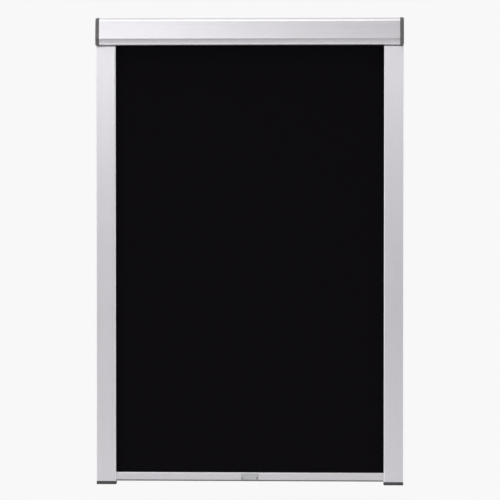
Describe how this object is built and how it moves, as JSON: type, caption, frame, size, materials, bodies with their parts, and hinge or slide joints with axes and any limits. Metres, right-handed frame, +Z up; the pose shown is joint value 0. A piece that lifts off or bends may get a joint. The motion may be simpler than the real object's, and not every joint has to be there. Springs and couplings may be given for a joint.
{
  "type": "blackout roller blind",
  "caption": "Roof window blackout roller blind: aluminium headbox, side rails, black cloth on a spring roller and a sliding pull bar with a finger grip.",
  "frame": {"origin": "middle of the flat back face of the headbox, where it lies on the window frame", "axes": "+X across the blind, to the right as seen from the room; +Z up along the side rails; +Y out of the back into the window frame, so the room is on the -Y side"},
  "size_m": [0.615, 0.0373, 0.9344],
  "materials": {
    "satin_aluminium": "satin anodised, fine lengthwise grain",
    "grip_grey": "fine moulded texture, silver grey",
    "dark_plastic": "fine spark texture, dark grey",
    "black_cloth": "tight plain weave, coated on the window side",
    "seal_grey": "dull soft strip",
    "black_pile": "dense brush pile",
    "white_nylon": "natural nylon",
    "bright_steel": "zinc plated",
    "felt": "pressed felt"
  },
  "bodies": {
    "frame": {"headbox_base": "satin_aluminium", "headbox_cover": "satin_aluminium", "headbox_seal": "black_pile", "end_cap_left": "dark_plastic", "end_cap_right": "dark_plastic", "end_cap_screw_upper_left": "bright_steel", "end_cap_screw_lower_left": "bright_steel", "end_cap_screw_upper_right": "bright_steel", "end_cap_screw_lower_right": "bright_steel", "idle_bush": "white_nylon", "spring_rod": "bright_steel", "spring_anchor": "white_nylon", "torsion_spring": "bright_steel", "rail_channel_left": "satin_aluminium", "rail_channel_right": "satin_aluminium", "rail_cover_left": "satin_aluminium", "rail_cover_right": "satin_aluminium", "rail_foot_left": "dark_plastic", "rail_foot_right": "dark_plastic", "pile_rear_left": "black_pile", "pile_rear_right": "black_pile", "pile_front_left": "black_pile", "pile_front_right": "black_pile", "blackout_fabric": "black_cloth"},
    "roller": {"roller_tube": "satin_aluminium", "fabric_roll": "black_cloth", "idle_plug": "white_nylon", "drive_plug": "white_nylon", "idle_pin": "bright_steel"},
    "bar": {"pull_bar": "satin_aluminium", "bar_seal": "seal_grey", "pull_grip": "grip_grey", "hem_rod": "white_nylon", "fabric_hem": "black_cloth", "bar_slider_left": "dark_plastic", "bar_slider_right": "dark_plastic", "friction_pad_left": "felt", "friction_pad_right": "felt", "friction_spring_left": "bright_steel", "friction_spring_right": "bright_steel"}
  },
  "joints": [
    {"name": "bar_slide", "type": "slide", "parent": "frame", "child": "bar", "axis": [0, 0, 1], "range_m": [0, 0.852], "deforming": ["blackout_fabric"]},
    {"name": "roller_turn", "type": "hinge", "parent": "frame", "child": "roller", "pos_m": [0, -0.01727, 0], "axis": [1, 0, 0], "range_deg": [0, 4164]}
  ],
  "couplings": [
    {"joint": "roller_turn", "follows": "bar_slide", "rad_per_m": 85.29}
  ]
}
